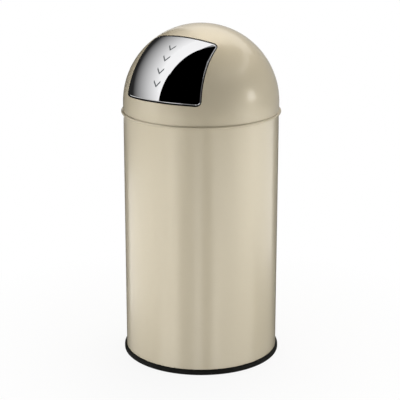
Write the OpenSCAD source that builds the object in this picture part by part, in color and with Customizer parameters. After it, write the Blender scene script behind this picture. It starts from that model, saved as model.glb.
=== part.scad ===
// Dome-lid push bin: a steel can with a rolled rim and a black foot ring, a lift-off dome lid
// with a sprung push flap in its mouth, and a lift-out liner with a bail.
// Millimetres, +Z up. The origin is on the floor at the can's axis, and the flap faces -Y.

/* [Can] */
// Outer radius of the can's wall
can_r = 170; // [160:1:180]
// Thickness of the can's and the lid's sheet steel
sheet_t = 0.6; // [0.5:0.1:1.2]
// Height of the rim's top above the floor
rim_h = 556; // [520:1:600]
// Diameter of the rolled bead round the rim
bead_d = 5.5; // [5:0.5:9]
// Width of the welded side seam at the back
seam_w = 5; // [3:0.5:8]
// Height that the side seam stands out
seam_raise = 0.3; // [0.1:0.05:0.5]

/* [Base] */
// Height of the base plate's underside above the floor
base_h = 11; // [9:0.5:20]
// Height of the base plate's raised ring
base_ring_raise = 3; // [1:0.5:5]
// Inner radius of the raised ring
base_ring_in = 55; // [40:1:70]
// Outer radius of the raised ring
base_ring_out = 115; // [90:1:125]

/* [Foot ring] */
// Height of the foot ring
foot_h = 11.5; // [10:0.5:18]
// Thickness that the foot ring stands out from the wall
foot_out = 5; // [2:0.5:6]
// Thickness of the foot ring under the wall's edge
foot_web = 3; // [2:0.5:5]
// Thickness of the foot ring's inner lip
foot_lip_t = 4; // [2:0.5:6]
// Height of the foot ring's inner lip
foot_lip_h = 8; // [5:0.5:9]

/* [Lid] */
// Distance that the dome stands out past the can's wall
dome_step = 0.5; // [0:0.1:1.5]
// Height of the straight skirt under the dome
skirt_h = 16.7; // [16:0.1:30]
// Depth of the collar inside the can's mouth
collar_depth = 21; // [12:1:22]
// Thickness of the collar
collar_t = 0.6; // [0.5:0.1:1.2]
// Radial clearance between the collar and the can's wall
collar_gap = 2; // [1:0.1:3]
// Height that the collar is welded up the skirt
collar_weld_h = 10; // [8:0.5:11]

/* [Mouth] */
// Tilt of the mouth's axis above level, in degrees
mouth_tilt = 31.7; // [28:0.1:36]
// Width of the mouth at its top edge
mouth_w_top = 165; // [158:1:172]
// Width of the mouth at its bottom corners
mouth_w_low = 194; // [186:1:198]
// Height of the top edge above the dome's centre, square to the axis
mouth_top = 92.5; // [88:0.5:96]
// Drop of the bottom edge below the dome's centre, square to the axis
mouth_drop = 65; // [60:0.1:70]
// Radius of the bottom edge's curve, which keeps that edge level
mouth_low_r = 365; // [330:5:400]
// Corner radius of the mouth
mouth_corner = 13.5; // [9:0.5:16]

/* [Flap] */
// Thickness of the flap's sheet
flap_t = 1; // [0.8:0.1:1.5]
// Depth of the flap's turned-in edge
flap_edge = 8; // [5:0.5:9]
// Gap between the flap and the mouth at the sides
gap_side = 1.8; // [1.5:0.1:2.5]
// Gap between the flap and the mouth at the top
gap_top = 2.2; // [1.5:0.1:2.5]
// Gap between the flap and the mouth at the bottom
gap_low = 2.8; // [2.5:0.1:4]
// Reach of each stop ear behind the dome's edge
ear_reach = 9; // [6:0.5:12]
// Width of each stop ear along the edge
ear_w = 14; // [8:1:20]
// Overlap of each stop ear on the flap
ear_lap = 4; // [3:0.5:5]
// Height of the stop ears' middle above the dome's centre, square to the mouth's axis
ear_up = -28; // [-34:1:0]
// Thickness of the rubber buffer on each stop ear
buffer_t = 2; // [1.5:0.1:3]

/* [Hinge] */
// Angle of the hinge rod above level, seen from the dome's centre
hinge_angle = 69.3; // [68:0.1:71]
// Clearance between the rod's caps and the brackets' weld flanges
hinge_room = 0.3; // [0.2:0.1:1]
// Diameter of the hinge rod
rod_d = 5; // [4:0.5:6]
// Distance from the side of the mouth's top to each bracket's inner face
bracket_gap = 1.5; // [1.5:0.1:3]
// Thickness of the hinge brackets
bracket_t = 2; // [1.5:0.1:2.5]
// Width of each bracket's weld flange
flange_w = 12; // [9:1:14]
// Directions of each bracket's sides, in degrees above level
bracket_spread = [28, 93];
// Directions of each weld flange's ends, in degrees above level
flange_spread = [33, 78];
// Radius of the bracket and arm ends round the rod
boss_r = 7; // [6:0.5:8]
// Distance from the side of the flap's top to each arm's outer face
arm_inset = 7.7; // [6.5:0.1:9]
// Directions of each arm's sides, in degrees above level towards the back
arm_spread = [158, 198];
// Thickness of the flap arms
arm_t = 1.5; // [1:0.1:2]
// Outer diameter of the bush in each arm
bush_d = 8; // [7:0.5:9]
// Length of the bush
bush_l = 6; // [5:0.5:7]
// Diameter of the bush's flange
bush_flange_d = 12; // [10:0.5:13]
// Thickness of the bush's flange
bush_flange_t = 1; // [0.8:0.1:1.5]
// Diameter of the cap on each end of the rod
cap_d = 9; // [8:0.5:10]
// Length of the cap
cap_l = 4; // [3:0.5:5]
// Thickness of the cap's closed end
cap_wall = 1; // [0.8:0.1:1.5]

/* [Springs] */
// Diameter of the spring wire
wire_d = 1.5; // [1:0.1:1.8]
// Mean radius of the spring's coil
coil_r = 5; // [4.5:0.1:5.6]
// Advance of the coil in each turn
coil_pitch = 2.2; // [2.0:0.1:2.6]
// Whole turns of the coil
coil_turns = 8; // [4:1:8]
// Gap between the coil's outer end and the arm's bush
coil_gap = 3; // [2:0.5:6]

/* [Liner] */
// Gap between the can's wall and the liner's wall under its rim
liner_gap = 14.4; // [14:0.1:20]
// Amount that the liner's radius narrows to its foot
liner_taper = 8; // [4:0.5:12]
// Thickness of the liner's sheet
liner_t = 0.5; // [0.4:0.1:1]
// Distance from the can's rim down to the liner's rim
liner_drop = 44; // [40:1:60]
// Diameter of the liner's rolled rim
liner_bead_d = 6; // [4:0.5:6]
// Height that each swaged rib stands out
rib_out = 2; // [1:0.5:3]
// Height of each swaged rib
rib_h = 12; // [8:1:16]
// Distance from the liner's rim down to its upper rib
rib_top_drop = 70; // [60:1:100]
// Height of the lower rib above the liner's foot
rib_low_up = 60; // [40:1:80]
// Recess of the liner's base above its foot
liner_recess = 7; // [6:0.5:12]

/* [Bail] */
// Diameter of the bail's wire
bail_d = 5; // [4:0.5:6]
// Radius of the bend at each end of the bail
bail_bend = 4; // [3.5:0.5:5]
// Diameter of the head on each end of the bail
bail_head_d = 8; // [7:0.5:9]
// Thickness of the bail's heads
bail_head_t = 1.5; // [1:0.1:2]
// Radius of the grip
grip_r = 6.5; // [5.5:0.5:7]
// Length of the grip along the arc
grip_l = 100; // [80:1:120]
// Gap between the liner's rolled rim and each bail ear
ear_off = 1.8; // [1:0.1:2]
// Thickness of the bail ears
ear_t = 1.5; // [1:0.1:2]
// Width of the bail ears
lug_w = 24; // [20:1:30]
// Radius of each bail ear's round top
lug_top_r = 9; // [7:0.5:10]
// Length of each bail ear's leg on the wall
lug_leg = 22; // [18:1:30]
// Distance from the rolled rim down to each bail ear's step
lug_under = 3; // [2.5:0.5:5]
// Height of each bail ear's step out past the rolled rim
lug_rise = 4; // [3:0.5:4.5]
// Height of the strip above each bail ear's step
lug_step_h = 2; // [1:0.5:3]
// Diameter of the rivets' shanks
rivet_d = 3; // [2.5:0.5:4]
// Diameter of the rivets' heads
rivet_head_d = 6.4; // [5:0.2:7]
// Height of the rivets' heads
rivet_head_h = 1.5; // [1:0.1:2]

/* [Clearances] */
// Gap under a piece that rests on another
seat_gap = 0.3; // [0.2:0.05:0.5]
// Gap between sheets that nest
fit_gap = 0.1; // [0.05:0.05:0.2]
// Radial gap of a shaft in its hole
run_gap = 0.05; // [0.03:0.01:0.1]
// Radial gap of the bail's wire in its ears
bail_gap = 0.3; // [0.2:0.05:0.5]

/* [Hidden] */
$fn = 180;
small = 0.01;
// Distance of an arm's root corners from the rod's axis, as a share of its boss
root_share = 0.8;
big = 400;

// Colours
cream = [0.81, 0.77, 0.68];
polished = [0.86, 0.87, 0.88];
zinc = [0.66, 0.68, 0.70];
galvanised = [0.70, 0.72, 0.74];
black = [0.06, 0.06, 0.06];
nylon = [0.90, 0.89, 0.85];

// Can
can_in = can_r - sheet_t;
bead_r = bead_d / 2;
wall_foot = foot_web + fit_gap;
base_top = base_h + sheet_t;
base_r = can_in - fit_gap;

// Lid
dome_r = can_r + dome_step;
dome_in = dome_r - sheet_t;
bead_c = can_in + bead_r;
lid_z = rim_h - bead_r + sqrt(pow(bead_r + seat_gap, 2) - pow(bead_c - dome_r, 2));
dome_c = lid_z + skirt_h;
collar_top_r = dome_in - fit_gap;
collar_low_r = can_in - collar_gap;
collar_z = rim_h - collar_depth;

// Hinge, at the rod's axis
bracket_x = mouth_w_top / 2 + bracket_gap;
rod_r = rod_d / 2;
rod_end = bracket_x + bracket_t + cap_l;
cap_end = rod_end + cap_wall;
flange_in = dome_in - fit_gap - bracket_t;
hinge_reach = sqrt(pow(flange_in - cap_d / 2 - hinge_room, 2) - pow(cap_end, 2));
hinge_y = -hinge_reach * cos(hinge_angle);
hinge_z = dome_c + hinge_reach * sin(hinge_angle);
arm_x = mouth_w_top / 2 - gap_side - arm_inset - arm_t;
bush_face = arm_x + arm_t + run_gap;

// Liner
liner_r = can_in - liner_gap;
liner_foot_r = liner_r - liner_taper;
liner_foot = base_top + seat_gap;
liner_top = rim_h - liner_drop;
liner_bead_r = liner_bead_d / 2;
liner_bead_c = liner_r - liner_t + liner_bead_r;
bail_r = liner_bead_c - bail_bend;
bail_z = liner_top + grip_r + seat_gap;
lug_x = liner_bead_c + liner_bead_r + ear_off;
lug_leg_top = liner_top - liner_bead_d - lug_under;
lug_step_z = lug_leg_top + lug_rise;
rivet_z = lug_leg_top - lug_leg * 2 / 3;
rivet_y = lug_w / 2 - rivet_head_d / 2 - 1.5;

// Points along an arc about c, from angle a0 to a1 in n steps
function arc(c, r, a0, a1, n = 8) =
    [for (i = [0:n]) let (a = a0 + (a1 - a0) * i / n) c + r * [cos(a), sin(a)]];

function flip(points) = [for (i = [len(points) - 1:-1:0]) [-points[i][0], points[i][1]]];

// Slope of the mouth's sides, and half the mouth's width at a height above the dome's centre
slope = (mouth_w_top - mouth_w_low) / 2 / (mouth_top + mouth_drop);
function mouth_half(up) = mouth_w_low / 2 + slope * (up + mouth_drop);

// Outline of the mouth, drawn in by a distance at the sides, the top and the bottom
function mouth_outline(side, top, low) =
    let (slant = sqrt(1 + slope * slope),
         half = mouth_w_low / 2 - side * slant,
         r = mouth_corner - side,
         c_low = mouth_low_r - mouth_drop,
         r_low = mouth_low_r - low,
         m = half + slope * (c_low + mouth_drop) - r * slant,
         down = (m * slope + sqrt(m * m * slope * slope
                 - slant * slant * (m * m - pow(r_low - r, 2)))) / (slant * slant),
         low_c = [m - slope * down, c_low - down],
         top_y = mouth_top - top - r,
         top_c = [half + slope * (top_y + mouth_drop) - r * slant, top_y],
         turn = atan2(-slope, 1),
         low_turn = atan2(low_c[1] - c_low, low_c[0]),
         right = concat(arc([0, c_low], r_low, -90, low_turn, 16),
                        arc(low_c, r, low_turn, turn),
                        arc(top_c, r, turn, 90)))
    concat(right, flip([for (i = [1:len(right) - 1]) right[i]]));

// A solid ball about the dome's centre
module ball(r) {
    translate([0, 0, dome_c]) sphere(r = r);
}

// A bar along the mouth's axis with that outline
module mouth_bar(side, top, low) {
    translate([0, 0, dome_c]) rotate([90 - mouth_tilt, 0, 0])
        translate([0, 0, dome_r / 3]) linear_extrude(height = dome_r)
            polygon(mouth_outline(side, top, low));
}

// A bar along X, from x0 to x1, with an outline in Y and Z about the hinge rod
module hinge_plate(x0, x1) {
    translate([x0, hinge_y, hinge_z]) rotate([90, 0, 90])
        linear_extrude(height = x1 - x0) children();
}

module hinge_pin(r, x0, x1) {
    translate([x0, hinge_y, hinge_z]) rotate([0, 90, 0]) cylinder(r = r, h = x1 - x0);
}

// A flat arm that spreads from a boss round the rod, between two directions
module spread_arm(spread) {
    root = boss_r * root_share;
    from = spread[0];
    to = spread[1];
    start = root * [cos(from - 90), sin(from - 90)];
    end = root * [cos(to + 90), sin(to + 90)];
    circle(r = boss_r);
    polygon([start, start + dome_r * [cos(from), sin(from)], end + dome_r * [cos(to), sin(to)], end]);
}

// Rolled edge: a sheet curled outwards from a wall, with the curl's end left open
module curl(r, t) {
    difference() {
        circle(r = r);
        circle(r = r - t);
        polygon([[0, 0], 2 * r * [cos(186), sin(186)], 2 * r * [cos(226), sin(226)]]);
    }
}

module can_shell() {
    wall_top = rim_h - bead_r;
    color(cream) {
        rotate_extrude() {
            translate([can_in, wall_foot]) square([sheet_t, wall_top - wall_foot]);
            translate([bead_c, wall_top]) curl(bead_r, sheet_t);
        }
        seam_turn = 360 * seam_w / (2 * PI * can_r);
        rotate([0, 0, 90 - seam_turn / 2]) rotate_extrude(angle = seam_turn)
            translate([can_r - sheet_t / 2, foot_h + 1])
                square([sheet_t / 2 + seam_raise, rim_h - bead_d - foot_h - 2]);
    }
}

module can_base() {
    rise = base_ring_raise;
    line = [[0, 0], [base_ring_in, 0], [base_ring_in + rise, rise],
            [base_ring_out, rise], [base_ring_out + rise, 0], [base_r - sheet_t, 0]];
    upper = [for (i = [len(line) - 2:-1:0]) line[i] + [0, sheet_t]];
    color(cream) translate([0, 0, base_h]) rotate_extrude()
        polygon(concat(line, [[base_r - sheet_t, wall_foot - base_h], [base_r, wall_foot - base_h],
                              [base_r, sheet_t]], upper));
}

module foot_ring() {
    out = can_r + foot_out;
    wall = can_r + fit_gap;
    gutter = base_r - sheet_t - fit_gap;
    inner = gutter - foot_lip_t;
    round_r = 2.5;
    shoulder = foot_h / 2;
    color(black) rotate_extrude() polygon(concat(
        [[inner, 0]],
        arc([out - round_r, round_r], round_r, -90, 0),
        [for (a = [10:10:80]) [wall + (out - wall) * cos(a), shoulder + (foot_h - shoulder) * sin(a)]],
        [[wall, foot_h], [wall, foot_web], [gutter, foot_web], [gutter, foot_lip_h], [inner, foot_lip_h]]));
}

// The dome's outer or inner form: a half ball on a straight skirt
module dome_form(r, z0) {
    intersection() {
        ball(r);
        translate([-big, -big, dome_c]) cube([2 * big, 2 * big, big]);
    }
    translate([0, 0, z0]) cylinder(r = r, h = dome_c - z0);
}

module lid_dome() {
    color(cream) difference() {
        dome_form(dome_r, lid_z);
        dome_form(dome_in, lid_z - 1);
        mouth_bar(0, 0, 0);
    }
}

module lid_collar() {
    top = dome_c - fit_gap;
    weld = top - collar_weld_h;
    lead = 1.5;
    line = [[collar_top_r, top], [collar_top_r, weld], [collar_low_r, weld - 3 * lead],
            [collar_low_r, collar_z + 2 * lead], [collar_low_r - lead, collar_z]];
    back = [for (i = [len(line) - 1:-1:0]) line[i] - [collar_t, 0]];
    color(cream) rotate_extrude() polygon(concat(line, back));
}

// A plate that hangs from the dome round the rod's end, with a curved flange for its weld
module hinge_bracket() {
    seat = dome_in - fit_gap;
    color(zinc) difference() {
        union() {
            intersection() {
                ball(seat);
                hinge_plate(bracket_x, bracket_x + bracket_t) spread_arm(bracket_spread);
            }
            intersection() {
                difference() {
                    ball(seat);
                    ball(flange_in);
                }
                hinge_plate(bracket_x + bracket_t / 2, bracket_x + flange_w) spread_arm(flange_spread);
            }
        }
        hinge_pin(rod_r + run_gap, bracket_x - 1, bracket_x + bracket_t + 1);
    }
}

module hinge_rod() {
    color(zinc) hinge_pin(rod_r, -rod_end, rod_end);
}

module rod_cap() {
    color(zinc) difference() {
        hinge_pin(cap_d / 2, bracket_x + bracket_t + fit_gap, cap_end);
        hinge_pin(rod_r + run_gap, bracket_x, rod_end + run_gap);
    }
}

module flap_panel() {
    ear_r = dome_in - seat_gap - buffer_t;
    color(polished) {
        difference() {
            intersection() {
                ball(dome_r);
                mouth_bar(gap_side, gap_top, gap_low);
            }
            intersection() {
                ball(dome_r - flap_t);
                mouth_bar(gap_side + flap_t, gap_top + flap_t, gap_low + flap_t);
            }
            ball(dome_r - flap_edge);
        }
        for (side = [-1, 1]) stop_ear(side, ear_r, flap_t);
    }
}

// A thin piece behind the dome's edge at one side of the flap, t thick under radius r
module stop_ear(side, r, t, inset = 0) {
    width = ear_w - 2 * inset;
    flap_half = mouth_half(ear_up + ear_w / 2) - gap_side;
    start = inset > 0 ? mouth_half(ear_up - ear_w / 2) + inset : flap_half - ear_lap;
    end = mouth_half(ear_up) + ear_reach - inset;
    intersection() {
        difference() {
            ball(r);
            ball(r - t);
        }
        translate([0, 0, dome_c]) rotate([90 - mouth_tilt, 0, 0])
            translate([side > 0 ? start : -end, ear_up - width / 2, dome_r / 3])
                cube([end - start, width, dome_r]);
    }
}

module stop_buffers() {
    top = dome_in - seat_gap;
    color(black) for (side = [-1, 1]) stop_ear(side, top, buffer_t - run_gap, 1);
}

module flap_arm() {
    color(polished) difference() {
        intersection() {
            hinge_plate(arm_x, arm_x + arm_t) spread_arm(arm_spread);
            ball(dome_r - flap_t - fit_gap);
        }
        hinge_pin(bush_d / 2 + run_gap, arm_x - 1, arm_x + arm_t + 1);
    }
}

// A flanged bush in the right arm
module arm_bush() {
    color(nylon) difference() {
        union() {
            hinge_pin(bush_d / 2, bush_face - bush_l, bush_face);
            hinge_pin(bush_flange_d / 2, bush_face, bush_face + bush_flange_t);
        }
        hinge_pin(rod_r + run_gap, bush_face - bush_l - 1, bush_face + bush_flange_t + 1);
    }
}

// Springs: a straight leg on the dome, the coil round the rod, and a straight leg on the flap
sides = 6;
steps = 12;
rest_r = dome_in - wire_d / 2 - seat_gap;
flap_leg_turn = 97.9;
dome_leg_turn = 139.8;
coil_sweep = flap_leg_turn + 360 * coil_turns - dome_leg_turn;
coil_n = floor(coil_sweep / 360 * steps);
coil_x = bush_face - bush_l - coil_gap - wire_d / 2 - coil_pitch * coil_sweep / 360;

function out_dir(a) = [0, cos(a), sin(a)];
function run_dir(a) = [0, -sin(a), cos(a)];
function coil_point(a) = [coil_x + coil_pitch * (a - dome_leg_turn) / 360, hinge_y, hinge_z]
                         + coil_r * out_dir(a);
function coil_turn(i) = dome_leg_turn + coil_sweep * i / coil_n;
// Distance along a direction from p to the sphere of radius rest_r
function leg_length(p, dir) =
    let (q = p - [0, 0, dome_c], b = q * dir)
    -b + sqrt(b * b - q * q + rest_r * rest_r);
function wire_ring(p, a) =
    [for (k = [0:sides - 1]) let (t = 360 * k / sides)
        p + wire_d / 2 * (cos(t) * out_dir(a) + sin(t) * [1, 0, 0])];
dome_leg_end = let (p = coil_point(coil_turn(0)), d = -run_dir(dome_leg_turn)) p + leg_length(p, d) * d;
flap_leg_end = let (p = coil_point(coil_turn(coil_n)), d = run_dir(flap_leg_turn)) p + leg_length(p, d) * d;
spring_rings = concat(
    [wire_ring(dome_leg_end, dome_leg_turn)],
    [for (i = [0:coil_n]) wire_ring(coil_point(coil_turn(i)), coil_turn(i))],
    [wire_ring(flap_leg_end, flap_leg_turn)]);
coil_line = [for (i = [0:coil_n]) coil_point(coil_turn(i))];
least_gap = min([for (i = [0:coil_n]) for (j = [i + steps / 2:1:coil_n])
                 norm(coil_line[i] - coil_line[j])]) - wire_d;
echo(least_gap_of_spring_to_itself = least_gap);

module tube(rings) {
    n = len(rings);
    m = len(rings[0]);
    sides_faces = [for (i = [0:n - 2]) for (k = [0:m - 1])
        let (a = i * m + k, b = i * m + (k + 1) % m, c = a + m, d = b + m)
        each [[a, b, c], [b, d, c]]];
    ends = concat([for (k = [1:m - 2]) [0, k + 1, k]],
                  [for (k = [1:m - 2]) [(n - 1) * m, (n - 1) * m + k, (n - 1) * m + k + 1]]);
    polyhedron(points = [for (ring = rings) each ring], faces = concat(sides_faces, ends));
}

module spring() {
    color(zinc) tube(spring_rings);
}

// Liner wall: a tapered sheet with two swaged ribs, thickened inwards
function liner_wall_r(z) =
    let (z0 = liner_foot, z1 = liner_top - liner_bead_r,
         ribs = [liner_top - rib_top_drop, liner_foot + rib_low_up],
         bulge = [for (c = ribs) abs(z - c) < rib_h / 2 ? rib_out * pow(cos((z - c) / rib_h * 180), 2) : 0])
    liner_foot_r + (liner_r - liner_foot_r) * (z - z0) / (z1 - z0) + bulge[0] + bulge[1];

module liner_wall() {
    top = liner_top - liner_bead_r;
    rib_z = [liner_foot + rib_low_up, liner_top - rib_top_drop];
    levels = concat([liner_foot],
                    [for (c = rib_z) for (i = [-4:4]) c + rib_h / 2 * i / 4],
                    [top]);
    outer = [for (z = levels) [liner_wall_r(z), z]];
    inner = [for (i = [len(outer) - 1:-1:0]) outer[i] - [liner_t, 0]];
    color(galvanised) difference() {
        rotate_extrude() {
            polygon(concat(outer, inner));
            translate([liner_bead_c, top]) curl(liner_bead_r, liner_t);
        }
        for (side = [-1, 1]) for (y = [-rivet_y, rivet_y]) rivet_bar(side, y, rivet_d / 2 + run_gap);
    }
}

// A bar along X through one side of the liner's wall, at a rivet's place
module rivet_bar(side, y, r, x0 = liner_r - 12, x1 = liner_r + 8) {
    translate([side > 0 ? x0 : -x1, y, rivet_z]) rotate([0, 90, 0]) cylinder(r = r, h = x1 - x0);
}

module liner_base() {
    r = liner_foot_r - liner_t - fit_gap;
    floor_z = liner_foot + liner_recess;
    color(galvanised) rotate_extrude()
        polygon([[0, floor_z], [r - liner_t, floor_z], [r - liner_t, liner_foot],
                 [r, liner_foot], [r, floor_z + liner_t], [0, floor_z + liner_t]]);
}

// The ear's edge line from its leg on the wall, out round the rolled rim and up
module bail_ear() {
    wall_x = liner_r + fit_gap;
    ear_z = lug_step_z + lug_step_h;
    color(galvanised) difference() {
        union() {
            rotate([90, 0, 0]) translate([0, 0, -lug_w / 2]) linear_extrude(height = lug_w)
                polygon([[wall_x, lug_leg_top - lug_leg], [wall_x + ear_t, lug_leg_top - lug_leg],
                         [wall_x + ear_t, lug_leg_top], [lug_x + ear_t, lug_step_z],
                         [lug_x + ear_t, ear_z], [lug_x, ear_z],
                         [lug_x, lug_step_z], [wall_x, lug_leg_top]]);
            translate([lug_x, 0, 0]) rotate([90, 0, 90]) linear_extrude(height = ear_t) {
                translate([-lug_w / 2, lug_step_z]) square([lug_w, lug_step_h]);
                polygon([[-lug_w / 2, ear_z], [lug_w / 2, ear_z],
                         [lug_top_r, bail_z], [-lug_top_r, bail_z]]);
                translate([0, bail_z]) circle(r = lug_top_r);
            }
        }
        translate([lug_x - 1, 0, bail_z]) rotate([0, 90, 0])
            cylinder(r = bail_d / 2 + bail_gap, h = ear_t + 2);
        for (y = [-rivet_y, rivet_y]) rivet_bar(1, y, rivet_d / 2 + run_gap);
    }
}

module ear_rivets() {
    outer = liner_r + fit_gap + ear_t + run_gap;
    inner = sqrt(pow(liner_wall_r(rivet_z) - liner_t, 2) - pow(rivet_y + rivet_head_d / 2, 2))
            - run_gap;
    color(zinc) for (side = [-1, 1]) for (y = [-rivet_y, rivet_y]) {
        rivet_bar(side, y, rivet_d / 2, inner, outer + small);
        rivet_bar(side, y, rivet_head_d / 2, outer, outer + rivet_head_h);
        rivet_bar(side, y, rivet_head_d / 2, inner - rivet_head_h, inner + small);
    }
}

// Bail, lying back on the liner's rim
module bail_wire() {
    pin_x = bail_r + bail_bend;
    head_x = lug_x + ear_t + bail_gap;
    color(zinc) translate([0, 0, bail_z]) {
        translate([0, bail_bend, 0]) rotate_extrude(angle = 180)
            translate([bail_r, 0]) circle(d = bail_d);
        for (side = [0, 1]) mirror([side, 0, 0]) {
            translate([pin_x, bail_bend, 0]) rotate([0, 0, 180]) rotate_extrude(angle = 90)
                translate([bail_bend, 0]) circle(d = bail_d);
            translate([pin_x, 0, 0]) rotate([0, 90, 0]) cylinder(d = bail_d, h = head_x - pin_x);
            translate([head_x, 0, 0]) rotate([0, 90, 0]) cylinder(d = bail_head_d, h = bail_head_t);
        }
    }
}

module bail_grip() {
    turn = 360 * grip_l / (2 * PI * bail_r);
    color(black) translate([0, bail_bend, bail_z]) rotate([0, 0, 90 - turn / 2])
        rotate_extrude(angle = turn) translate([bail_r, 0]) difference() {
            circle(r = grip_r);
            circle(r = bail_d / 2 + fit_gap);
        }
}

can_shell();
can_base();
foot_ring();
lid_dome();
lid_collar();
mirror([1, 0, 0]) hinge_bracket();  // hinge_bracket_left
hinge_bracket();  // hinge_bracket_right
hinge_rod();
for (side = [0, 1]) mirror([side, 0, 0]) rod_cap();  // rod_caps
mirror([1, 0, 0]) spring();  // spring_left
spring();  // spring_right
flap_panel();
mirror([1, 0, 0]) flap_arm();  // flap_arm_left
flap_arm();  // flap_arm_right
for (side = [0, 1]) mirror([side, 0, 0]) arm_bush();  // arm_bushes
stop_buffers();
liner_wall();
liner_base();
mirror([1, 0, 0]) bail_ear();  // bail_ear_left
bail_ear();  // bail_ear_right
ear_rivets();
bail_wire();
bail_grip();
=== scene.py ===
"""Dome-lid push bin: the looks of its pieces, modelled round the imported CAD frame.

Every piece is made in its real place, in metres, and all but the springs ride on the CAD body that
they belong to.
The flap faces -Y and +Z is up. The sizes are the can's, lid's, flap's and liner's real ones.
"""
import math

import bmesh
import bpy
from bpy.props import FloatProperty, FloatVectorProperty, IntProperty, PointerProperty
from bpy.types import Operator, Panel, PropertyGroup
from mathutils import Matrix, Vector


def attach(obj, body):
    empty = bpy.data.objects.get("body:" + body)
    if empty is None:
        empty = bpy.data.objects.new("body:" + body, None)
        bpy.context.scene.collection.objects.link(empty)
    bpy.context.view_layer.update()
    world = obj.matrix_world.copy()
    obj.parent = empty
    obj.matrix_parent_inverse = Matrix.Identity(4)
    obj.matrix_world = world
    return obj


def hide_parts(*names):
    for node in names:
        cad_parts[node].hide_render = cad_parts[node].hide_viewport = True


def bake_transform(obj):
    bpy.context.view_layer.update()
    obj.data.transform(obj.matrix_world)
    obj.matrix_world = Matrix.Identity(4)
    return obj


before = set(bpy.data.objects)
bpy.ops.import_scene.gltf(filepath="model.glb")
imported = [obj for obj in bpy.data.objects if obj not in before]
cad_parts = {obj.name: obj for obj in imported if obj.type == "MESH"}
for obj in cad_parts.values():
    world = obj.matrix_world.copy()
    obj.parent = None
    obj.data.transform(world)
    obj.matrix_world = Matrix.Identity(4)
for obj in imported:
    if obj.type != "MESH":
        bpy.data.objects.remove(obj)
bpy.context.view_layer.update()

bl_info = {
    "name": "Dome-lid push bin",
    "version": (1, 0, 0),
    "blender": (4, 5, 0),
    "location": "3D View > Sidebar > Push bin",
    "description": "Models a dome-lid push bin, its flap's hinge and its liner, piece by piece",
    "category": "Object",
}

MM = 0.001
X, Y, Z = Vector((1, 0, 0)), Vector((0, 1, 0)), Vector((0, 0, 1))
ORIGIN = Vector((0, 0, 0))
# Turn of a rolled rim's open curl, gap between pressed pieces, and play between small ones
CURL = math.radians(314)
FIT = 0.1 * MM
PLAY = 0.05 * MM
# Steps round the hinge's turned pieces, the rivets, the base plates and the liner's wall
HINGE_STEPS, RIVET_STEPS, PLATE_STEPS, LINER_STEPS = 48, 32, 192, 224
# Distance under which points are merged, and height within which they count as level
MERGE, LEVEL = 1e-6, 1e-5


# Settings

def length(name, description, mm):
    return FloatProperty(name=name, description=description, default=mm * MM, min=0,
                         subtype="DISTANCE", unit="LENGTH", precision=4)


def angle(name, description, degrees):
    return FloatProperty(name=name, description=description, default=math.radians(degrees),
                         subtype="ANGLE", unit="ROTATION")


def colour(name, description, rgb):
    return FloatVectorProperty(name=name, description=description, default=rgb, size=3,
                               min=0, max=1, subtype="COLOR")


def count(name, description, number):
    return IntProperty(name=name, description=description, default=number, min=1, max=512)


def power(name, description, watts):
    return FloatProperty(name=name, description=description, default=watts, min=0,
                         subtype="POWER", unit="POWER")


class CanSizes(PropertyGroup):
    """Sizes of the can, its base and its foot ring"""
    radius: length("Radius", "Outer radius of the can's wall", 170)
    sheet: length("Sheet", "Thickness of the can's and the lid's sheet steel", 0.6)
    rim_h: length("Rim height", "Height of the rim's top above the floor", 556)
    bead: length("Bead radius", "Outer radius of the rolled bead round the rim", 2.75)
    wall_foot: length("Wall foot", "Height of the wall's lower edge", 3.1)
    base_h: length("Base height", "Height of the base plate's underside", 11)
    base_r: length("Base radius", "Outer radius of the base plate's flange", 169.3)
    foot_out: length("Foot ring out", "Distance that the foot ring stands out from the wall", 5)
    foot_h: length("Foot ring height", "Height of the foot ring", 11.5)
    seam_w: length("Seam width", "Width of the welded side seam at the back", 5)
    steps: count("Steps", "Steps round the can's and the lid's sheets", 256)

    @property
    def inner(self):
        return self.radius - self.sheet

    @property
    def bead_centre(self):
        return Vector((self.inner + self.bead, self.rim_h - self.bead))


class LidSizes(PropertyGroup):
    """Sizes of the dome lid and its collar"""
    radius: length("Dome radius", "Outer radius of the dome", 170.5)
    foot: length("Skirt foot", "Height of the skirt's lower edge", 555.815)
    skirt: length("Skirt", "Height of the straight skirt under the dome", 16.7)
    collar_r: length("Collar radius", "Outer radius of the collar inside the can's mouth", 167.4)
    collar_foot: length("Collar foot", "Height of the collar's lower edge", 535)
    collar_weld: length("Collar weld", "Height that the collar is welded up the skirt", 10)

    @property
    def centre(self):
        return Vector((0, 0, self.foot + self.skirt))


class MouthSizes(PropertyGroup):
    """Sizes of the lid's mouth, square to the mouth's axis through the dome's centre"""
    tilt: angle("Tilt", "Tilt of the mouth's axis above level", 31.7)
    top_w: length("Top width", "Width of the mouth at its top edge", 165)
    low_w: length("Low width", "Width of the mouth at its bottom corners", 194)
    top: length("Top", "Height of the mouth's top edge above the dome's centre", 92.5)
    drop: length("Drop", "Drop of the mouth's bottom edge below the dome's centre", 65)
    low_r: length("Bottom radius", "Radius of the bottom edge's curve", 365)
    corner: length("Corner", "Corner radius of the mouth", 13.5)

    @property
    def axis(self):
        return Vector((0, -math.cos(self.tilt), math.sin(self.tilt)))

    @property
    def up(self):
        return Vector((0, math.sin(self.tilt), math.cos(self.tilt)))

    @property
    def slope(self):
        return (self.top_w - self.low_w) / 2 / (self.top + self.drop)


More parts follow.
